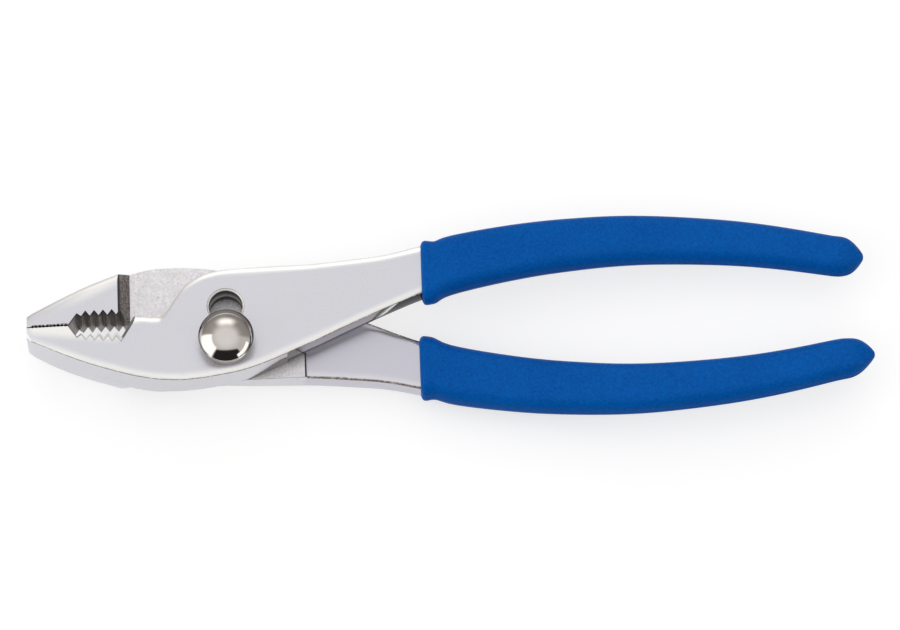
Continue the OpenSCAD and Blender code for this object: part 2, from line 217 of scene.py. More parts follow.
# %% Directions in the room
WHITE = (1.0, 1.0, 1.0)
DEGREE = math.radians(1)
world = bpy.data.worlds.new("studio")
scene.world = world
world.use_nodes = True
web = Web(world.node_tree)
east, north, zenith = web.split(web.add("ShaderNodeTexCoord", None, None, "Generated"))
height = zenith.math("ARCSINE") / DEGREE
bearing = east.math("ARCTAN2", -north) / DEGREE
off_front = bearing.math("ABSOLUTE")
rise = zenith.math("ARCTAN2", -north) / DEGREE
print("directions:", len(web.tree.nodes), "nodes")

# %% Cards
CEILING_FROM = (34, 68)
WALL_LIGHT = (0.72, 0.70, 0.68)
CARDS = {
    "dim wall by the handles": (bearing, (97, 190), height, (-20, 45), (0.40, 0.375, 0.36), (12, 32)),
    "dim wall by the jaws": (bearing, (-190, -110), height, (-20, 42), (0.45, 0.425, 0.41), (8, 32)),
    "bright card behind": (off_front, (156, 200), height, (22, 46), (1.75, 1.73, 1.7), (30, 22)),
    "bright card on the left": (bearing, (-107, -46), height, (-10, 42), (1.75, 1.75, 1.75), (5, 8)),
    "dark gap in front": (bearing, (-43, 46), rise, (3, 46), (0.025, 0.024, 0.024), (5, 8)),
    "dark gap on the right": (bearing, (62, 104), height, (-8, 5), (0.04, 0.038, 0.036), (8, 4)),
    "strip on the right": (bearing, (34, 84), height, (9, 20), (1.8, 1.8, 1.8), (4, 4)),
}
room = tint(web, height.ramp(*CEILING_FROM), WALL_LIGHT, WHITE)
for across, bearings, upwards, heights, light, soft in CARDS.values():
    mask = window(across, *bearings, soft[0]) * window(upwards, *heights, soft[1])
    room = tint(web, mask, room, light)
seen = web.add("ShaderNodeLightPath", None, None, "Is Camera Ray")
back_wall = web.add("ShaderNodeBackground", None, {"Color": tint(web, seen, room, WHITE)})
web.add("ShaderNodeOutputWorld", None, {"Surface": back_wall})
print("room:", list(CARDS))

# %% [markdown]
# ## Floor
# The tool lies on white paper. The paper's own colour takes the shadow, and a glow that only the
# camera and the mirrors see lifts it to white without putting more light on the tool.

# %% Floor
FLOOR_HALF = 6.0
FLOOR_DROP = 0.4 * MM
PAPER_GREY = (0.5, 0.5, 0.5)
PAPER_GLOW = 0.62
corners = [(x, y, 0) for x, y in ((-1, -1), (1, -1), (1, 1), (-1, 1))]
floor_mesh = bpy.data.meshes.new("floor")
floor_mesh.from_pydata([Vector(c) * FLOOR_HALF for c in corners], [], [(0, 1, 2, 3)])
floor = bpy.data.objects.new("floor", floor_mesh)
scene.collection.objects.link(floor)
floor.location.z = -FLOOR_DROP
paper = bpy.data.materials.new("paper")
paper.use_nodes = True
web = Web(paper.node_tree)
dull = web.add("ShaderNodeBsdfDiffuse", None, {"Color": PAPER_GREY})
web.add("ShaderNodeLightPath")
rays = [web.wire(kind) for kind in ("Is Camera Ray", "Is Glossy Ray", "Is Transmission Ray")]
mirrored = rays[0] + rays[1] + rays[2]
glow = web.add("ShaderNodeEmission", None, {"Color": WHITE, "Strength": PAPER_GLOW})
lit = web.add("ShaderNodeAddShader", None, {0: dull, 1: glow})
shown = web.add("ShaderNodeMixShader", None, {0: mirrored.clamped(), 1: dull, 2: lit})
web.add("ShaderNodeOutputMaterial", None, {"Surface": shown})
floor_mesh.materials.append(paper)
floor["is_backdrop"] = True
print("floor", FLOOR_HALF * 2, "m square")

# %% [markdown]
# ## Finishes
# Every finish reads Object coordinates, so its grain stays on the piece when it moves. The lumps
# are given in millimetres, which keeps them at the scale of the real surface. What varies feeds
# the colour, the roughness, the bump or how metallic a place is, and what is the same all over
# sits on the shader itself.

# %% A new finish
def colour(red, green, blue):
    """A colour as it is written for a screen, 0 to 255, made linear."""
    shares = (c / 255 for c in (red, green, blue))
    return tuple(s / 12.92 if s < 0.04 else ((s + 0.055) / 1.055) ** 2.4 for s in shares)


def new_finish(name, **fixed):
    """A material with a Principled shader whose fixed values sit on its own sockets."""
    material = bpy.data.materials.new(name)
    material.use_nodes = True
    web = Web(material.node_tree)
    shine = web.add("ShaderNodeBsdfPrincipled")
    web.shader = web.last
    for socket, value in fixed.items():
        web.plug(web.shader.inputs[socket.replace("_", " ")], value)
    web.add("ShaderNodeOutputMaterial", None, {"Surface": shine})
    web.place = web.add("ShaderNodeTexCoord", None, None, "Object")
    return material, web


def dress(web, base, rough, height, edge_mm=0.0, metallic=None):
    """Links what varies over the surface to the shader, and softens edges of that radius."""
    sockets = {"Height": height, "Strength": 1.0, "Distance": MM}
    if edge_mm:
        sockets["Normal"] = web.add("ShaderNodeBevel", {"samples": 6}, {"Radius": edge_mm * MM})
    bumped = web.add("ShaderNodeBump", None, sockets)
    links = {"Base Color": base, "Roughness": rough, "Normal": bumped, "Metallic": metallic}
    for name, wire in links.items():
        if wire is not None:
            web.plug(web.shader.inputs[name], wire)


print("screen grey 209 is", round(colour(209, 209, 209)[0], 3), "in the shader")


# %% Grain, specks and baked marks
def placed(web, size_mm, stretch=(1, 1, 1), turn=0.0):
    """Object coordinates in lumps of that many millimetres, turned by degrees in the plane."""
    scales = [s / size_mm / MM for s in stretch]
    sockets = {"Vector": web.place, "Scale": scales, "Rotation": (0, 0, math.radians(turn))}
    return web.add("ShaderNodeMapping", None, sockets)


def noise(web, size_mm, detail=2.0, stretch=(1, 1, 1), rough=0.5, turn=0.0):
    """Noise in -1 to 1, whose lumps are about that many millimetres across."""
    sockets = {"Vector": placed(web, size_mm, stretch, turn), "Scale": 1.0}
    sockets.update({"Detail": detail, "Roughness": rough})
    return web.add("ShaderNodeTexNoise", None, sockets, "Fac") * 2.0 - 1.0


def specks(web, every_mm, size_mm, rare):
    """Round specks of that size, in the share of the cells that rare leaves."""
    sockets = {"Vector": placed(web, every_mm), "Scale": 1.0}
    far = web.add("ShaderNodeTexVoronoi", None, sockets, "Distance")
    chance = web.add("ShaderNodeSeparateColor", None, {0: web.wire("Color")}, "Red")
    size = size_mm / every_mm / 2
    return (1 - far.ramp(size * 0.6, size * 1.3)) * chance.ramp(rare, rare + 0.01)


def baked(web, name):
    """An attribute that the mesh carries on its faces' corners."""
    return web.add("ShaderNodeAttribute", {"attribute_name": name}, None, "Fac")


def greater(one, other):
    return one.math("MAXIMUM", other)


print("helpers ready:", [f.__name__ for f in (placed, noise, specks, baked, greater)])

# %% [markdown]
# ## Places on the tool
# Wear, painted light and shade, and cutter marks sit at places, so the finishes and the forgings
# share one list of them. X runs to the handles, Y to the upper jaw's side and Z to the bolt's head,
# in millimetres from the pivot axis. They are the sizes of the imported model, read off once.

# %% Places on the tool
LAP_Z = 10.7
BITE_Y = 5.7
SHOULDER_X = -23.0
PAD_X = 18.3
NOSE_X = -46.5
SLOT_R = 4.2
SLOT_PITCH = 8.8


def above(line, x, y):
    """How far a place lies above a line, given as a point's X and Y and its slope."""
    at_x, at_y, slope = line
    return y - (x - at_x) * slope - at_y


print("the jaws bite at Y", BITE_Y, "mm, the plates lap at Z", LAP_Z, "mm")

# %% [markdown]
# ## Satin chrome
# The forgings are blasted, then plated, so the chrome is matt at the scale of a grain of sand. A
# little of the shader is left unmetallic, because blasted chrome scatters light and never turns
# black where the room is dark. A few dark pits from the forging die and faint scuffs keep the
# broad faces from looking like paint, and the attribute `tone` marks a tang that is darker.

# %% Satin chrome: the plate
CHROME = ((0.65, 0.65, 0.695), (0.70, 0.70, 0.745))
TONED_CHROME = (0.60, 0.59, 0.655)
SATIN_METALLIC = 0.82
satin, web = new_finish("satin_chrome", Specular_IOR_Level=0.3)
x, y, z = web.split(web.place, MM)
cloud = noise(web, 26.0, 3.0)
grain = noise(web, 0.2, 2.0, rough=0.6)
brushed = noise(web, 0.8, 2.0, (0.03, 1, 1))
scuff = noise(web, 2.2, 3.0, (0.05, 1, 1), turn=28).ramp(0.35, 0.75)
pit = specks(web, 5.5, 0.5, 0.93)
wear_and_highlight, tone = baked(web, "wear_and_highlight"), baked(web, "tone")
shade = (cloud * 0.3 + grain * 0.3 + brushed * 0.2 + 0.5).clamped()
plate = tint(web, tone, tint(web, shade, *CHROME), TONED_CHROME)
print("satin chrome, the plate:", len(web.tree.nodes), "nodes")

# %% [markdown]
# Hands and the tumbling drum polish the rounded edges first, and the rounds catch more light, so
# they are lighter: partly wear, partly a painted highlight. The attribute baked on the edges drives
# that. It is weaker at the nose and on the dark tang. The jaws get a painted highlight on their
# upper edge and beside the teeth, where no attribute reaches into the broad face, so two lines on
# the jaws mark those places.

# %% Satin chrome: wear and painted highlights
RUBBED_AND_HIGHLIT_CHROME = (0.96, 0.95, 0.92)
UPPER_EDGE = (-26.0, 17.8, 0.44)
TEETH_FOOT = (-25.0, 0.9, -0.129)
TEETH_X = (-47, -26)
TIP_X = (-43, -30)
NOSE_FADE_X = (-47, -36)
JAW_TOP_Z = (14, 15)
# painted highlight along the upper jaw's outer edge and beside the lower teeth
upper_edge_highlight = above(UPPER_EDGE, x, y).ramp(-3.8, -0.8) * x.ramp(*TIP_X)
below_bite = window(x, *TEETH_X, 3) * (1 - y.ramp(BITE_Y - 0.3, BITE_Y + 0.1))
teeth_highlight = window(above(TEETH_FOOT, x, y), 0.2, 9.0, 2.6) * below_bite
on_jaws = (1 - x.ramp(SHOULDER_X - 1, SHOULDER_X)) * z.ramp(*JAW_TOP_Z)
painted_jaw_highlight = greater(upper_edge_highlight, teeth_highlight) * on_jaws * 0.85
# wear and painted highlight on the rounded edges, from the baked attribute
round_wear_and_highlight = wear_and_highlight.ramp(0.05, 0.8) * (1 - tone * 0.6) * (x.ramp(*NOSE_FADE_X) * 0.6 + 0.4)
plate = tint(web, greater(painted_jaw_highlight, round_wear_and_highlight), plate, RUBBED_AND_HIGHLIT_CHROME)
print("the upper jaw's edge rises", UPPER_EDGE[2], "mm a millimetre towards the shoulder")

# %% [markdown]
# A thin broken brown line runs in the corner where a rounded face meets a side wall. The joint has
# painted shade: a dark painted shadow along the lap, and a wedge of painted shade on the front
# half's inner side, which widens towards the handle.

# %% Satin chrome: corner line and painted shade
CORNER_LINE_BROWN = (0.15, 0.105, 0.08)
WEDGE_SHADE = ((0.05, 0.04, 0.036), (0.2, 0.17, 0.16))
GAP_SHADOW_BLACK = (0.03, 0.024, 0.02)
PIT_BROWN = (0.16, 0.13, 0.11)
WEDGE_FROM_X = 4
WEDGE_RISE = 0.55
WEDGE_HIGH = 4.6
LOWER_SIDE_Y = (2, 3)
chatter = noise(web, 0.8, 3.0, rough=0.7)
# a thin broken brown line where a rounded face meets a side wall
corner_line = wear_and_highlight.ramp(0.87 - tone * 0.2, 0.97 - tone * 0.15)
plate = tint(web, corner_line * chatter.ramp(-0.5, 0.1) * 0.95, plate, CORNER_LINE_BROWN)
in_joint = window(x, WEDGE_FROM_X - 0.5, PAD_X + 0.3, 1.0) * (1 - y.ramp(*LOWER_SIDE_Y))
wedge_top = ((x - WEDGE_FROM_X) * WEDGE_RISE).math("MINIMUM", WEDGE_HIGH) + LAP_Z
above_wedge = (z - wedge_top + chatter * 0.4).ramp(-0.3, 0.3)
# painted shade: a wedge on the front half's inner side, widening towards the handle
shadow_wedge = (1 - above_wedge) * z.ramp(LAP_Z, LAP_Z + 0.1) * in_joint
plate = tint(web, shadow_wedge * 0.9, plate, tint(web, chatter.ramp(-0.5, 0.5), *WEDGE_SHADE))
# painted shadow: a dark line along the lap, where the halves meet
gap_shadow = window(z, LAP_Z - 0.22, LAP_Z + 0.3, 0.15) * in_joint * chatter.ramp(-0.6, 0.0)
plate = tint(web, gap_shadow * 0.9, plate, GAP_SHADOW_BLACK)
plate = tint(web, pit * 0.5, plate, PIT_BROWN)
matt = cloud * 0.02 + grain * 0.04 - scuff * 0.04 + 0.29
dress(web, plate, matt, grain * 0.0025 - pit * 0.05, 0.1, SATIN_METALLIC - shadow_wedge * 0.45)
print("satin chrome:", len(web.tree.nodes), "nodes")

# %% [markdown]
# ## Lap faces
# A cutter went over the lap faces after forging, so that the two plates slide. It left them
# mottled and brighter, with small stains in the pores.

# %% Lap faces
MILLED_STEEL = ((0.58, 0.555, 0.565), (0.93, 0.915, 0.945))
STAIN = (0.2, 0.18, 0.17)
milled, web = new_finish("milled_lap", Metallic=SATIN_METALLIC, Specular_IOR_Level=0.3)
mottle = noise(web, 0.55, 3.0, rough=0.7)
lines = noise(web, 0.4, 1.0, (1, 0.05, 1))
stain = specks(web, 2.6, 0.45, 0.7)
shade = (mottle * 0.9 + lines * 0.2 + 0.58).clamped()
metal = tint(web, stain * 0.6, tint(web, shade, *MILLED_STEEL), STAIN)
dress(web, metal, mottle * 0.08 + 0.38, mottle * 0.012 + lines * 0.005, 0.1)
print("milled lap:", len(web.tree.nodes), "nodes")

# %% [markdown]
# ## Cut walls
# The broach for the teeth left upright strokes on a dark, unplated wall, made darker still by
# painted shade of the recess. Close under the upper jaw's face the wall is nearly black with painted
# shade. The painted shade is made less metallic as well: a metal mirrors more light at a flat angle
# than a dark matt surface does.

# %% Cut walls
RAW_STEEL_AND_SHADE = ((0.05, 0.042, 0.04), (0.42, 0.375, 0.35))
ROOT_SHADE_BLACK = (0.006, 0.006, 0.007)
JAW_FACE = (-25.6, 17.5, 0.066)
ROOT_SHADE_DEPTH = (0.9, 1.9)


def cut_steel(name):
    """Dark, blotchy steel with upright cutter strokes, its darkness partly painted shade, and the web
    for what a wall adds.
    """
    material, web = new_finish(name, Specular_IOR_Level=0.1)
    blotch = noise(web, 0.7, 3.0, (1, 1, 0.5), 0.7)
    strokes = noise(web, 0.34, 2.0, (1, 1, 0.05))
    shade = (blotch * 0.55 + strokes * 1.3 + 0.48).clamped()
    web.metal = tint(web, shade, *RAW_STEEL_AND_SHADE)
    web.sink = blotch * 0.004 + strokes * 0.012
    web.dull = blotch * 0.06 + 0.36
    return material, web


cut_wall, web = cut_steel("cut_wall")
x, _, z = web.split(web.place, MM)
# painted shade: nearly black close under the upper jaw's face
root_shade = 0.9 - (-above(JAW_FACE, x, z)).ramp(*ROOT_SHADE_DEPTH) * 0.9
metal = tint(web, root_shade, web.metal, ROOT_SHADE_BLACK)
dress(web, metal, web.dull, web.sink, 0.06, 0.75 - root_shade * 0.7)
print("cut wall:", len(web.tree.nodes), "nodes")

# %% [markdown]
# ## Slot wall
# The slot was broached in the same way. It is darker at its mouth and lighter in a ring half way
# down, and its bottom is a black painted shadow where the plates meet.

# %% Slot wall
BOTTOM_Z, SLOT_SHADOW_BLACK = (12.9, 13.3), (0.002, 0.002, 0.003)
RING_Z, RING_BRIGHT = (13.3, 13.9), (0.6, 0.56, 0.54)
MOUTH_Z, MOUTH_BLACK = (14.7, 15.6), (0.010, 0.010, 0.012)
OIL_BROWN = (0.25, 0.225, 0.215)
slot_wall, web = cut_steel("slot_wall")
_, _, z = web.split(web.place, MM)
# painted shadow: black at the bottom of the slot, where the plates meet
slot_shadow = 1 - z.ramp(*BOTTOM_Z)
mouth = z.ramp(*MOUTH_Z) * 0.95
metal = tint(web, 0.3, web.metal, OIL_BROWN)
metal = tint(web, window(z, *RING_Z, 0.3), metal, RING_BRIGHT)
metal = tint(web, mouth, metal, MOUTH_BLACK)
metal = tint(web, slot_shadow, metal, SLOT_SHADOW_BLACK)
dress(web, metal, web.dull, web.sink, 0.06, (0.7 - slot_shadow - mouth).clamped())
print("slot wall:", len(web.tree.nodes), "nodes")

# %% [markdown]
# ## Inner walls
# The inner walls of the tangs were never blasted, so they are smoother and browner. They end in a
# bright slanting edge at the crotch, where the forging was trimmed. Nearer the pivot than the pad's
# step the wall gets a dark brown painted shadow, and beyond the edge, and low down where the other
# half lies close, it is black with painted shade.

# %% Inner walls
WALL_STEEL = ((0.50, 0.47, 0.475), (0.62, 0.585, 0.59))
TRIMMED = (0.9, 0.9, 0.9)
SHADOW_BROWN = (0.11, 0.095, 0.09)
HIDDEN_SHADE_BLACK = (0.02, 0.02, 0.026)
CROTCH_X = 33.7
CROTCH_SLANT = 1.06
BROWN_TO_X = (16.5, 19.0)
CONTACT_HIGH = (2.7, 3.3)
inner_wall, web = new_finish("inner_wall", Specular_IOR_Level=0.1)
x, _, z = web.split(web.place, MM)
past_crotch = x - (z - LAP_Z).math("ABSOLUTE") * CROTCH_SLANT - CROTCH_X
drag = noise(web, 0.5, 3.0, (0.08, 1, 1))
metal = tint(web, (drag * 0.6 + 0.5).clamped(), *WALL_STEEL)
metal = tint(web, window(past_crotch, -0.9, 0.2, 0.5), metal, TRIMMED)
# painted shadow: dark brown nearer the pivot than the pad's step
metal = tint(web, (1 - x.ramp(*BROWN_TO_X)) * 0.8, metal, SHADOW_BROWN)
# painted shade: black beyond the crotch and low down near the other half
contact = 1 - (z - LAP_Z).ramp(*CONTACT_HIGH)
inner_shade = greater(past_crotch.ramp(0.1, 0.8), contact * 0.95)
metal = tint(web, inner_shade, metal, HIDDEN_SHADE_BLACK)
dress(web, metal, drag * 0.03 + 0.15, drag * 0.004, 0.08, 1 - inner_shade * 0.95)
print("inner wall:", len(web.tree.nodes), "nodes")

# %% [markdown]
# ## Bright bevels and the pad's step
# The bevels along the lower teeth and round the slot were ground last; their almost white colour is
# a painted highlight, with a thin brown border where they meet the plated face. The step at the
# end of the milled pad is a narrow groove, dark with painted shade.

# %% Bright bevels and the pad's step
GROUND_STEEL_HIGHLIGHT = ((0.97, 0.965, 0.96), (0.66, 0.62, 0.58))
BORDER_BROWN = (0.24, 0.18, 0.14)
STEP_SHADE = ((0.03, 0.026, 0.024), (0.12, 0.1, 0.09))
bright_edge, web = new_finish("bright_edge", Metallic=0.15)
nick = noise(web, 0.9, 3.0, rough=0.7)
border = window(baked(web, "wear_and_highlight"), 0.7, 0.88, 0.1)
# painted highlight: the ground bevels are nearly white
metal = tint(web, nick.ramp(0.3, 0.8), *GROUND_STEEL_HIGHLIGHT)
metal = tint(web, border * (0.75 - nick * 0.6), metal, BORDER_BROWN)
dress(web, metal, nick * 0.06 + 0.45, nick * 0.004, 0.06)

step_wall, web = new_finish("step_wall", Metallic=0.3, Specular_IOR_Level=0.1)
shade_mottle = noise(web, 0.4, 2.0)
# painted shade on the narrow step at the end of the pad
metal = tint(web, (shade_mottle * 0.5 + 0.5).clamped(), *STEP_SHADE)
dress(web, metal, shade_mottle * 0.05 + 0.4, shade_mottle * 0.01)

STEEL = {
    "satin": satin, "milled": milled, "cut": cut_wall, "slot": slot_wall, "inner": inner_wall,
    "step": step_wall, "edge": bright_edge,
}
print("steel finishes", [m.name for m in STEEL.values()])

# %% [markdown]
# ## Polished bolt
# The bolt's head is polished before it is plated, and warm nickel shows through its thin chrome.
# The side that faces the slot is painted darker, a painted reflection of the dim room beside it:
# a brown band above its rim, and a black line on the rim. The neck under the head is plain grey.
# All of these are bands of height, measured from the rim. Hairlines and a few dents keep the dome
# from looking like glass.

# %% Polished bolt
NICKEL = ((0.585, 0.545, 0.515), (0.67, 0.635, 0.605))
DARK_REFLECTION_TOP, DARK_REFLECTION_BROWN = (0.4, 2.3), (0.22, 0.195, 0.185)
REFLECTION_BAND_TOP, REFLECTION_BAND_BROWN = (0.95, 1.3), (0.075, 0.067, 0.065)
RIM_REFLECTION_TOP, RIM_REFLECTION_BLACK = (-0.1, 0.35), (0.05, 0.045, 0.045)
NECK_TOP, NECK_GREY = (-0.5, -0.35), (0.33, 0.295, 0.28)
DENT_BROWN = (0.3, 0.26, 0.23)
CROWN = 3.0
bolt_corner = Vector(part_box("pivot_bolt")[1]) / MM
HEAD_R, TOP_Z = bolt_corner.x, bolt_corner.z
RIM_Z = TOP_Z - CROWN
polished, web = new_finish("polished_chrome", Metallic=1.0)
_, y, z = web.split(web.place, MM)
over_rim = z - RIM_Z
smear = noise(web, 4.0, 3.0)
hairline = noise(web, 0.7, 2.0, (0.05, 1, 1), turn=20).math("ABSOLUTE")
dent = specks(web, 3.1, 0.35, 0.8)
shine = tint(web, (smear * 0.5 + 0.5).clamped(), *NICKEL)
# painted reflection: darker brown on the side of the dome that faces the slot
dark_reflection = (1 - (over_rim + smear * 0.15).ramp(*DARK_REFLECTION_TOP)) * (y + smear).ramp(-2.0, 3.0)
shine = tint(web, dark_reflection * 0.8, shine, DARK_REFLECTION_BROWN)
# painted reflection: a dark brown band just above the rim
reflection_band = (1 - over_rim.ramp(*REFLECTION_BAND_TOP)) * y.ramp(0.5, 3.0)
shine = tint(web, reflection_band * 0.75, shine, REFLECTION_BAND_BROWN)
# painted reflection: a black line on the rim
line = (1 - over_rim.ramp(*RIM_REFLECTION_TOP)) * y.ramp(-5.4, -4.2)
shine = tint(web, line * 0.9, shine, RIM_REFLECTION_BLACK)
neck = 1 - over_rim.ramp(*NECK_TOP)
shine = tint(web, neck, shine, NECK_GREY)
shine = tint(web, dent * 0.5, shine, DENT_BROWN)
gloss = smear * 0.02 + hairline * 0.05 + neck * 0.25 + 0.06
dress(web, shine, gloss, hairline * 0.0008 - dent * 0.01)
print("bolt's head", round(HEAD_R * 2, 2), "mm wide, top at", round(TOP_Z, 2), "mm")

# %% [markdown]
# ## Nut and thread
# The nut is plated as it comes from the bar, so the marks of the drawing die still run up its
# flats. The bolt's thread has the same plate.

# %% Nut and thread
PLATED_STEEL = ((0.50, 0.49, 0.48), (0.68, 0.67, 0.66))
plated, web = new_finish("plated_nut", Metallic=1.0)
drawn = noise(web, 0.5, 2.0, (1, 1, 0.1))
patch = noise(web, 3.0, 3.0)
shade = (drawn * 0.4 + patch * 0.4 + 0.5).clamped()
metal = tint(web, shade, *PLATED_STEEL)
dress(web, metal, patch * 0.05 + 0.24, drawn * 0.004, 0.1)
print("plated nut:", len(web.tree.nodes), "nodes")

# %% [markdown]
# ## Blue vinyl
# The sleeves are dipped in liquid vinyl, which sets with a satin skin: a soft gloss over a fine,
# even grain that also varies the colour a little, and paler rubs where hands hold the tool.

# %% Blue vinyl
VINYL_BLUES = (colour(0, 72, 149), colour(0, 103, 197))
RUBBED_BLUE = colour(20, 98, 180)
vinyl, web = new_finish("blue_vinyl", IOR=1.4, Specular_IOR_Level=0.08)
skin = noise(web, 0.6, 4.0, rough=0.65)
drift = noise(web, 14.0, 2.0)
rub = noise(web, 5.0, 4.0, (0.35, 1, 1), rough=0.7).ramp(0.3, 0.8)
shade = (skin * 0.85 + drift * 0.25 + 0.5).clamped()
blue = tint(web, rub * 0.2, tint(web, shade, *VINYL_BLUES), RUBBED_BLUE)
dress(web, blue, skin * 0.07 + rub * 0.05 + 0.42, skin * 0.018 - rub * 0.01)
print("blue vinyl:", len(web.tree.nodes), "nodes")

# %% [markdown]
# ## Forgings
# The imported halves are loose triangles. A merged copy of each gets smooth shading over the forged
# rounds and keeps its cut edges sharp. A face takes its finish from where it lies in the forging
# blank: `w` runs across from the line on which the jaws bite, and `h` up from the lap plane. The
# back half is the same blank turned over about the X axis, so both signs change.

# %% Which finish a face takes
LAP_FACE_X = (SHOULDER_X - 0.5, PAD_X)
STEP_X = (PAD_X - 0.1, PAD_X + 0.6)
STEP_H = (-0.1, 0.5)
SHOULDER_WALL_X = (SHOULDER_X - 3.1, SHOULDER_X + 0.2)
CUT_X = (NOSE_X, SHOULDER_X + 1.5)
CUT_W = (-3.7, 0.5)
BEVELLED_FROM_W = -4.5
SLOT_CHAMFER = 1.0
INNER_FROM = (6.0, -9.0)
CHAMFER_TILT = (43.0, 47.0)
LENGTHWISE_TILT = 12.0


def within(value, span):
    return span[0] < value < span[1]


def tilt(normal):
    """Degrees between a face and the lap plane."""
    return math.degrees(math.acos(min(1.0, abs(normal.z))))


def lean(normal):
    """Degrees by which a face leans to the side; the jaws' own fall lengthwise doesn't count."""
    sideways = math.degrees(math.atan2(abs(normal.y), abs(normal.z)))
    return max(sideways, tilt(normal) - LENGTHWISE_TILT)


def steel_finish(place, normal, slot_w):
    """Name of the finish of a face, from its place and its normal in the blank."""
    x, w, h = place
    upright = abs(normal.z) < 0.5
    from_slot = min(math.hypot(x, w - at) for at in slot_w)
    by_teeth = x < CUT_X[1] and w > BEVELLED_FROM_W
    if abs(h) < 0.12 and normal.z < -0.9 and within(x, LAP_FACE_X):
        return "milled"
    if within(x, STEP_X) and within(h, STEP_H) and normal.x > 0.4 and normal.z < -0.4:
        return "step"
    if within(tilt(normal), CHAMFER_TILT) and (from_slot < SLOT_R + SLOT_CHAMFER or by_teeth):
        return "edge"
    if upright and within(x, CUT_X) and within(w, CUT_W):
        return "cut"
    if within(x, SHOULDER_WALL_X) and normal.x > 0.5 and h < 0.1:
        return "cut"
    if upright and from_slot < SLOT_R:
        return "slot"
    if x > INNER_FROM[0] and w > INNER_FROM[1] and normal.y < -0.45 and -0.5 < normal.z < 0.75:
        return "inner"
    return "satin"


print("a face that looks down beside the bolt is", steel_finish((0, 0, 0), Vector((0, 0, -1)), [9]))

# %% [markdown]
# ## Wear and painted highlights
# A shader can't tell a rounded edge from a broad face, but the mesh can. How far a face leans to
# the side says how round the forging is there, so the script writes it on the faces' corners, where
# it drives both the wear and the painted highlight of the rounds. A corner that meets a side wall
# gets 1 on the lower side, where the dark corner line is strongest, and a little less on the upper
# side. A second attribute, `tone`, is 1 on the part of the back tang that is darker in the
# photograph.

# %% Wear and painted highlights
WALL_TILT = 60.0
FULL_WEAR_AND_HIGHLIGHT_TILT = 28.5
ROUND_WEAR_AND_HIGHLIGHT = 0.88
FAR_WALL_WEAR_AND_HIGHLIGHT = 0.9


def corner_wear_and_highlight(corner, face, toned_from):
    """How far the corner of a rounded face is worn, and how strong its painted highlight is."""
    around = [f.normal for f in corner.vert.link_faces]
    walls = [n for n in around if tilt(n) >= WALL_TILT and abs(n.y) > 0.5]
    if walls and walls[0].y < 0:
        return 1.0
    if walls and corner.vert.co.x / MM < toned_from:
        return FAR_WALL_WEAR_AND_HIGHLIGHT
    leans = [lean(n) for n in around if tilt(n) < WALL_TILT]
    wear = min(leans) if tilt(face.normal) > CHAMFER_TILT[0] else sum(leans) / len(leans)
    return min(1.0, wear / FULL_WEAR_AND_HIGHLIGHT_TILT) * ROUND_WEAR_AND_HIGHLIGHT


def bake_wear_and_highlight(work, rounded, bevels, toned_from):
    """Writes on the faces' corners how far they are worn and carry a painted highlight, and where the
    steel is darker.
    """
    wear_and_highlight = work.loops.layers.float.new("wear_and_highlight")
    tone = work.loops.layers.float.new("tone")
    for face in rounded:
        for corner in face.loops:
            corner[wear_and_highlight] = corner_wear_and_highlight(corner, face, toned_from)
    for face in bevels:
        for corner in face.loops:
            flat = [f for f in corner.vert.link_faces if tilt(f.normal) < CHAMFER_TILT[0]]
            corner[wear_and_highlight] = float(bool(flat))
    for face in work.faces:
        for corner in face.loops:
            corner[tone] = float(corner.vert.co.x / MM > toned_from - 0.05)


print("a round is fully worn where it leans", FULL_WEAR_AND_HIGHLIGHT_TILT, "degrees")

# %% [markdown]
# ## From node to piece
# Four steps are the same for every piece, whatever it looks like: merge the node's triangles,
# make a plain mesh of the work mesh, shade it smooth between its sharp edges, and hide the node
# that it stands for. The piece stays at the origin, because the node's own points already lie where
# the tool is, and it rides on the body of its node.

# %% Nodes and pieces
SAME_POINT = 0.0005 * MM
FLAT_ANGLE = 0.3


def body_of(node):
    return next(b for b, nodes in frame["record"]["behaviour"]["bodies"].items() if node in nodes)


def merged(node):
    """The CAD node's triangles, joined at their corners, in a work mesh."""
    work = bmesh.new()
    work.from_mesh(frame["nodes"][node].data)
    bmesh.ops.remove_doubles(work, verts=work.verts, dist=SAME_POINT)
    return work


def unite_flats(work):
    """Turns triangles that lie in one plane into one face."""
    limit = math.radians(FLAT_ANGLE)
    bmesh.ops.dissolve_limit(work, angle_limit=limit, verts=work.verts, edges=work.edges)


def piece_from(work, name, finishes):
    """The work mesh as a piece, with the finishes in its slots."""
    mesh = bpy.data.meshes.new(name)
    work.to_mesh(mesh)
    work.free()
    for finish in finishes:
        mesh.materials.append(finish)
    piece = bpy.data.objects.new(name, mesh)
    scene.collection.objects.link(piece)
    return piece


def smooth_below(piece, degrees):
    """Smooth shading over every edge that turns by less than that."""
    piece.data.shade_smooth()
    piece.data.set_sharp_from_angle(angle=math.radians(degrees))


def settle(piece):
    """Turns what the modifiers make into a plain mesh, and takes the modifiers off."""
    depsgraph = bpy.context.evaluated_depsgraph_get()
    mesh = bpy.data.meshes.new_from_object(
        piece.evaluated_get(depsgraph), preserve_all_data_layers=True, depsgraph=depsgraph
    )
    piece.modifiers.clear()
    piece.data = mesh
    return piece


def hand_over(piece, node):
    """The piece stands for the CAD node and moves with its body."""
    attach(piece, body_of(node))
    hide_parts(node)
    print(piece.name, len(piece.data.polygons), "faces, rides on", body_of(node))


print("nodes", {node: body_of(node) for node in frame["nodes"]})

# %% [markdown]
# ## Halves
# Every face of a half gets its finish and its wear before the work mesh becomes a piece. The
# sharp edges are marked by their angle, and the weighted normals keep the broad faces flat next
# to the small facets of the rounds.

# %% Halves
CRISP_ANGLE = 26.0
NEVER_TONED = 200.0


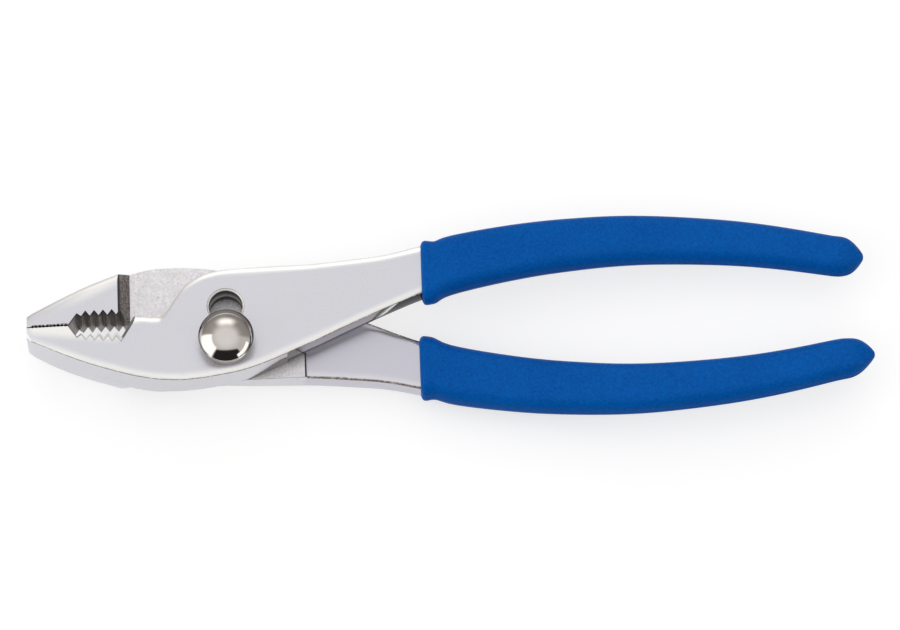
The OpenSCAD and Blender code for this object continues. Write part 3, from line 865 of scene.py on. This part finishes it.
def dressed_half(node, side, slot_w, toned_from):
    work = merged(node)
    unite_flats(work)
    work.normal_update()
    names = list(STEEL)
    rounded, bevels = [], []
    for face in work.faces:
        x, y, z = face.calc_center_median() / MM
        normal = Vector((face.normal.x, side * face.normal.y, side * face.normal.z))
        name = steel_finish((x, side * (y - BITE_Y), side * (z - LAP_Z)), normal, slot_w)
        face.material_index = names.index(name)
        face.smooth = True
        if name == "satin" and lean(face.normal) > 1 and tilt(face.normal) < WALL_TILT:
            rounded.append(face)
        elif name == "edge":
            bevels.append(face)
    bake_wear_and_highlight(work, rounded, bevels, toned_from)
    for edge in work.edges:
        edge.smooth = edge.calc_face_angle(math.pi) < math.radians(CRISP_ANGLE)
    piece = piece_from(work, node + "_steel", STEEL.values())
    piece.modifiers.new("even_normals", "WEIGHTED_NORMAL").keep_sharp = True
    hand_over(piece, node)


dressed_half("front_half", 1, [-BITE_Y, SLOT_PITCH - BITE_Y], NEVER_TONED)
dressed_half("back_half", -1, [BITE_Y], PAD_X)

# %% [markdown]
# ## Bolt
# The bolt is turned on a lathe, so it is modelled as one: an outline from the top of the dome to
# the flat end, swept round. A fine dome matters, because every facet would show as a break in
# the cards that it mirrors.

# %% Outline of the bolt
HEAD_H = 7.3
LIP = 0.4
BASE_R = 6.0
SHANK_R = 4.0
THREAD_R = 3.0
CORE_R = 2.66
END_R = 2.5
END_CHAMFER = 0.25
NUT_TOP_Z = 3.5
PLAY = 0.05
DOME_RINGS = 24

head_z = TOP_Z - HEAD_H
crown_r = HEAD_R - LIP / 2
ball_r = (crown_r ** 2 + CROWN ** 2) / (2 * CROWN)


def dome(share):
    """Point of the dome's outline, from the top at 0 to the rim at 1."""
    angle = share * math.asin(crown_r / ball_r)
    return ball_r * math.sin(angle), TOP_Z - ball_r * (1 - math.cos(angle))


OUTLINE = [dome((ring + 1) / DOME_RINGS) for ring in range(DOME_RINGS)]
OUTLINE += [
    (crown_r + 0.1, RIM_Z - 0.03), (HEAD_R - 0.03, RIM_Z - 0.1), (HEAD_R, RIM_Z - 0.2),
    (HEAD_R, RIM_Z - LIP), (HEAD_R - 0.06, RIM_Z - LIP - 0.08),
    (BASE_R, head_z + 0.12), (BASE_R - 0.12, head_z),
    (SHANK_R, head_z), (SHANK_R, LAP_Z), (SHANK_R, LAP_Z - PLAY), (SHANK_R, NUT_TOP_Z + 0.15),
    (SHANK_R - 0.15, NUT_TOP_Z), (CORE_R, NUT_TOP_Z), (CORE_R, END_CHAMFER), (END_R, 0.0),
]
print("the dome is part of a ball of", round(ball_r, 2), "mm, its base lies at", round(head_z, 2))

# %% [markdown]
# Where the shank passes through the slot it has two milled flats. They are the same rings, with
# the points beyond the flats pushed in.

# %% Bolt
STEPS = 128
FLATS = 5.3
BOLT_SHARP_ANGLE = 28


def lathe(outline, top_z, flat_zone, flats):
    """A closed turned work mesh; inside the flat zone of heights, X stops at the flats."""
    work = bmesh.new()
    rings = []
    for radius, z in outline:
        ring = []
        for step in range(STEPS):
            angle = math.tau * step / STEPS
            x, y = radius * math.cos(angle), radius * math.sin(angle)
            if flat_zone[0] <= z <= flat_zone[1] and radius <= SHANK_R:
                x = max(-flats / 2, min(flats / 2, x))
            ring.append(work.verts.new(Vector((x, y, z)) * MM))
        rings.append(ring)
    top = work.verts.new(Vector((0, 0, top_z)) * MM)
    for i in range(STEPS):
        beside = (i + 1) % STEPS
        work.faces.new((top, rings[0][i], rings[0][beside]))
        for upper, lower in zip(rings, rings[1:]):
            work.faces.new((upper[i], lower[i], lower[beside], upper[beside]))
    work.faces.new(rings[-1][::-1])
    bmesh.ops.remove_doubles(work, verts=work.verts, dist=SAME_POINT)
    return work


bolt = piece_from(lathe(OUTLINE, TOP_Z, (LAP_Z, head_z), FLATS), "domed_bolt", [polished])
smooth_below(bolt, BOLT_SHARP_ANGLE)
hand_over(bolt, "pivot_bolt")

# %% [markdown]
# ## Geometry Nodes recipes
# A recipe is a Geometry Nodes tree whose sizes are named inputs, so that it fits another tool
# with other numbers. It runs once, and what it makes is kept as a plain mesh.

# %% Geometry Nodes recipes
KINDS = {
    "geometry": "NodeSocketGeometry",
    "int": "NodeSocketInt",
    "float": "NodeSocketFloat",
    "material": "NodeSocketMaterial",
}


def new_recipe(name, **inputs):
    """An empty Geometry Nodes tree with these named inputs, and one geometry as its result."""
    tree = bpy.data.node_groups.new(name, "GeometryNodeTree")
    web = Web(tree)
    for label, kind in inputs.items():
        tree.interface.new_socket(label, in_out="INPUT", socket_type=KINDS[kind])
    tree.interface.new_socket("Result", in_out="OUTPUT", socket_type=KINDS["geometry"])
    web.add("NodeGroupInput")
    return web, [web.wire(label) for label in inputs]


def serve(web, shape, finish):
    """Ends a recipe: plain faces in one finish."""
    whole = web.add("GeometryNodeRealizeInstances", None, {"Geometry": shape})
    painted = web.add("GeometryNodeSetMaterial", None, {"Geometry": whole, "Material": finish})
    web.add("NodeGroupOutput", None, {"Result": painted})


def cook(web, name, mesh, **values):
    """Runs a recipe on a mesh and keeps the result as a plain piece."""
    piece = bpy.data.objects.new(name, mesh)
    scene.collection.objects.link(piece)
    modifier = piece.modifiers.new(web.tree.name, "NODES")
    modifier.node_group = web.tree
    for socket in web.tree.interface.items_tree:
        if socket.name in values:
            modifier[socket.identifier] = values[socket.name]
    return settle(piece)


print("a recipe's inputs can be", list(KINDS))

# %% [markdown]
# ## Thread
# A thread is a ridge that climbs round the core by one pitch a turn. Geometry Nodes draw it as a
# spiral curve with a small three cornered section swept along it. The modifier always hands a
# recipe the mesh that it sits on, and this recipe has no use for it.

# %% Thread
PITCH = 1.0
RIDGE_R = 0.3
SPIRAL_FROM_Z = 0.35
SPIRAL_H = NUT_TOP_Z - 0.7
TURN_POINTS = 64
web, (_, core, ridge, pitch, length, start, finish) = new_recipe(
    "thread", Given="geometry", Core="float", Ridge="float", Pitch="float", Length="float",
    Start="float", Finish="material",
)
sockets = {"Resolution": TURN_POINTS, "Rotations": length / pitch, "Height": length}
sockets.update({"Start Radius": core, "End Radius": core})
spiral = web.add("GeometryNodeCurveSpiral", None, sockets)
sockets = {"Resolution": 3, "Radius": ridge}
section = web.add("GeometryNodeCurvePrimitiveCircle", {"mode": "RADIUS"}, sockets)
sockets = {"Curve": spiral, "Profile Curve": section, "Fill Caps": True}
swept = web.add("GeometryNodeCurveToMesh", None, sockets)
lift = web.add("ShaderNodeCombineXYZ", None, {"Z": start})
serve(web, web.add("GeometryNodeTransform", None, {"Geometry": swept, "Translation": lift}), finish)
thread = cook(
    web, "bolt_thread", bpy.data.meshes.new("thread"), Core=(THREAD_R - RIDGE_R) * MM,
    Ridge=RIDGE_R * MM, Pitch=PITCH * MM, Length=SPIRAL_H * MM, Start=SPIRAL_FROM_Z * MM,
    Finish=plated,
)
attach(thread, body_of("pivot_bolt"))
print(thread.name, len(thread.data.polygons), "faces")

# %% [markdown]
# ## Nut
# The nut is cut from hexagon bar, with its corners turned down. The merged CAD copy has all of
# that, and a narrow bevel breaks its edges as the tumbling drum does.

# %% Nut
EDGE_BREAK = 0.12
BEVEL_FROM = 25
NUT_SHARP_ANGLE = 30
work = merged("pivot_nut")
unite_flats(work)
nut = piece_from(work, "hexagon_nut", [plated])
bevel = nut.modifiers.new("broken_edges", "BEVEL")
bevel.width = EDGE_BREAK * MM
bevel.segments = 2
bevel.angle_limit = math.radians(BEVEL_FROM)
smooth_below(settle(nut), NUT_SHARP_ANGLE)
hand_over(nut, "pivot_nut")

# %% [markdown]
# ## Sleeves
# A dipped sleeve is a skin of even thickness that follows the tang, rolls over at its mouth and
# runs out in the last drop of the dip. The CAD sleeve already is a stack of rings along that
# path. Walking over its faces from the drip brings them back in order, and each ring is turned
# until its points lie next to those of the ring before.

# %% Rings of a sleeve
RING = 22
TIP_DEPTH = 0.001 * MM


def rings_of(node):
    """The sleeve's rings, from the drip along the outside, over the mouth and up the inside."""
    work = merged(node)
    tip = max(v.co.x for v in work.verts)
    ring = [v for v in work.verts if v.co.x > tip - TIP_DEPTH]
    rings, known = [], set()
    while ring:
        middle = sum((v.co for v in ring), Vector()) / len(ring)
        ring.sort(key=lambda v: math.atan2(v.co.z - middle.z, v.co.y - middle.y))
        points = [v.co.copy() for v in ring]
        if rings:
            turns = [points[k:] + points[:k] for k in range(len(points))]
            points = min(turns, key=lambda t: sum((a - b).length for a, b in zip(t, rings[-1])))
        rings.append(points)
        known.update(ring)
        ring = list({e.other_vert(v) for v in ring for e in v.link_edges} - known)
    work.free()
    assert all(len(points) == RING for points in rings), [len(points) for points in rings]
    return rings


def ring_skin(name, rings):
    """A closed skin of four cornered faces over the rings."""
    points = [p for ring in rings for p in ring]
    faces = []
    for low in range(0, len(points) - RING, RING):
        high = low + RING
        for i in range(RING):
            beside = (i + 1) % RING
            faces.append((low + i, high + i, high + beside, low + beside))
    first = list(range(RING))
    last = list(range(len(points) - 1, len(points) - 1 - RING, -1))
    mesh = bpy.data.meshes.new(name)
    mesh.from_pydata(points, [], [*faces, first, last])
    return mesh


skins = {node: ring_skin(node, rings_of(node)) for node in ("front_grip", "back_grip")}
print("rings", {node: len(skin.vertices) // RING for node, skin in skins.items()})

# %% [markdown]
# A recipe smooths the skin and lets it ripple slightly, as liquid vinyl does while it sets. Each
# sleeve has a seed of its own, so that the two don't ripple alike.

# %% Sleeves
SMOOTH_STEPS = 2
RIPPLE = 0.05
RIPPLE_SIZE = 9.0
web, (skin, steps, ripple, size, seed, finish) = new_recipe(
    "dipped_skin", Skin="geometry", Steps="int", Ripple="float", Size="float", Seed="float",
    Finish="material",
)
smooth = web.add("GeometryNodeSubdivisionSurface", None, {"Mesh": skin, "Level": steps})
sockets = {"W": seed, "Scale": 1.0 / size, "Detail": 1.0}
lumps = web.add("ShaderNodeTexNoise", {"noise_dimensions": "4D"}, sockets, "Fac")
sockets = {0: web.add("GeometryNodeInputNormal"), "Scale": (lumps - 0.5) * ripple}
offset = web.add("ShaderNodeVectorMath", {"operation": "SCALE"}, sockets)
rippled = web.add("GeometryNodeSetPosition", None, {"Geometry": smooth, "Offset": offset})
serve(web, web.add("GeometryNodeSetShadeSmooth", None, {"Geometry": rippled}), finish)

for number, (node, skin) in enumerate(skins.items()):
    sleeve = cook(
        web, node.replace("grip", "sleeve"), skin, Steps=SMOOTH_STEPS, Ripple=RIPPLE * MM,
        Size=RIPPLE_SIZE * MM, Seed=float(number), Finish=vinyl,
    )
    hand_over(sleeve, node)

# %% Sizes
visual_box = [list(corner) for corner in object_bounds()]
growth = [[round((b - a) / MM, 2) for a, b in zip(c, v)] for c, v in zip(cad_box, visual_box)]
print("grown by", growth, "mm")
